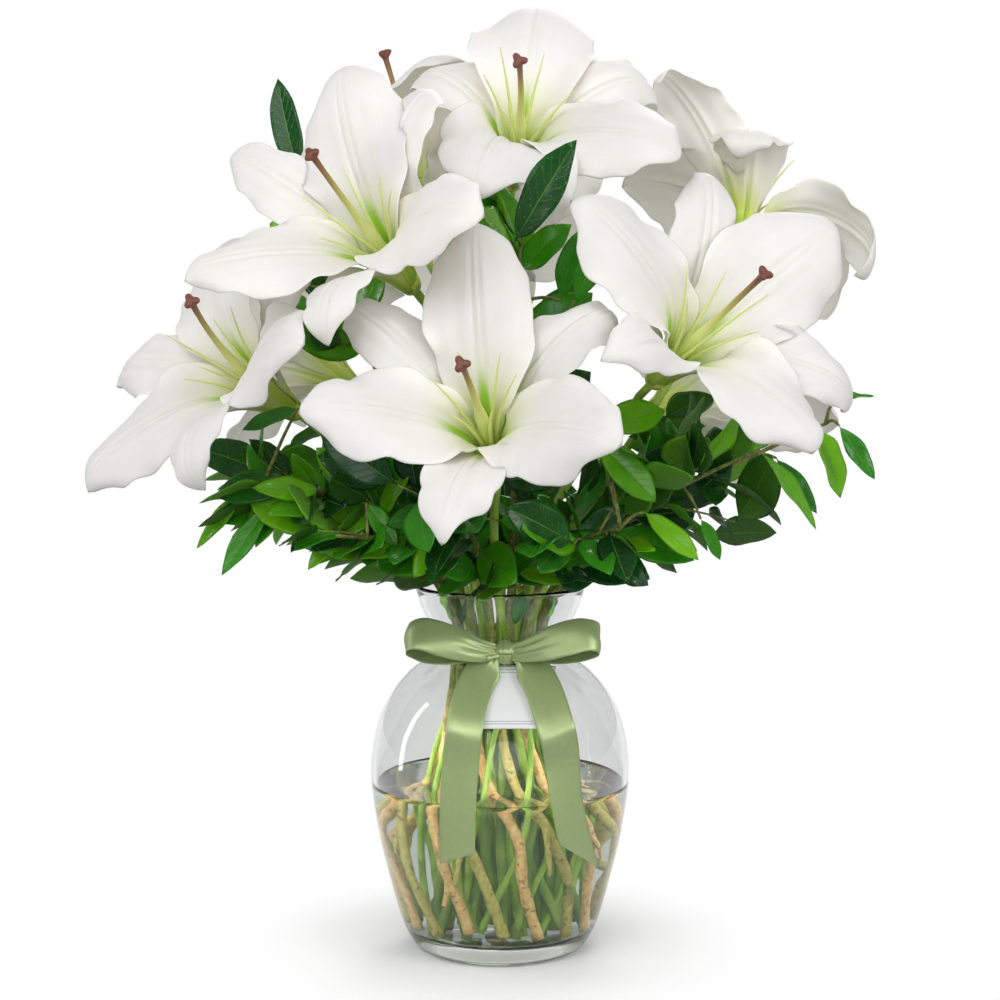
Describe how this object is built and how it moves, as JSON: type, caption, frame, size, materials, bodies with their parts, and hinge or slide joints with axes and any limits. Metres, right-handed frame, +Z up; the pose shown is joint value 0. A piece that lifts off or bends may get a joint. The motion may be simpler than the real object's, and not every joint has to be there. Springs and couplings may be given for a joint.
{
  "type": "lilies in a vase",
  "caption": "White lilies in bloom with leafy greenery, standing in water in a clear glass urn vase tied with a satin ribbon bow and a blank card.",
  "frame": {"origin": "centre of the vase's foot, on the surface it stands on", "axes": "+Z up along the vase's axis, -Y towards the front, where the bow and the card are, +X to the right seen from the front"},
  "size_m": [0.4685, 0.4958, 0.5731],
  "materials": {
    "vase_glass": "polished",
    "water": "gloss",
    "lily_petal": "satin",
    "lily_pistil": "satin",
    "green_stem": "satin",
    "green_leaf": "satin",
    "woody_stem": "matte",
    "ribbon_satin": "satin",
    "card_paper": "matte"
  },
  "bodies": {
    "root": {"vase": "vase_glass", "ribbon_bow": "ribbon_satin", "card": "card_paper", "lily_stem_a": "green_stem", "lily_stem_b": "green_stem", "lily_stem_c": "green_stem", "lily_stem_d": "green_stem", "lily_stem_e": "green_stem", "lily_stem_f": "green_stem", "lily_stem_g": "green_stem", "lily_front": "lily_petal", "pistil_front": "lily_pistil", "lily_upper_left": "lily_petal", "pistil_upper_left": "lily_pistil", "lily_right": "lily_petal", "pistil_right": "lily_pistil", "lily_lower_left": "lily_petal", "pistil_lower_left": "lily_pistil", "lily_top": "lily_petal", "pistil_top": "lily_pistil", "lily_top_left": "lily_petal", "pistil_top_left": "lily_pistil", "lily_top_right": "lily_petal", "pistil_top_right": "lily_pistil", "lily_back_right": "lily_petal", "pistil_back_right": "lily_pistil", "lily_back_left": "lily_petal", "pistil_back_left": "lily_pistil", "lily_back": "lily_petal", "pistil_back": "lily_pistil", "greens_01": "green_leaf", "greens_02": "green_leaf", "greens_03": "green_leaf", "greens_04": "green_leaf", "greens_05": "green_leaf", "greens_06": "green_leaf", "greens_07": "green_leaf", "greens_08": "green_leaf", "greens_09": "green_leaf", "greens_10": "green_leaf", "greens_11": "green_leaf", "greens_12": "green_leaf", "greens_13": "green_leaf", "greens_14": "green_leaf", "water": "water"}
  },
  "joints": []
}
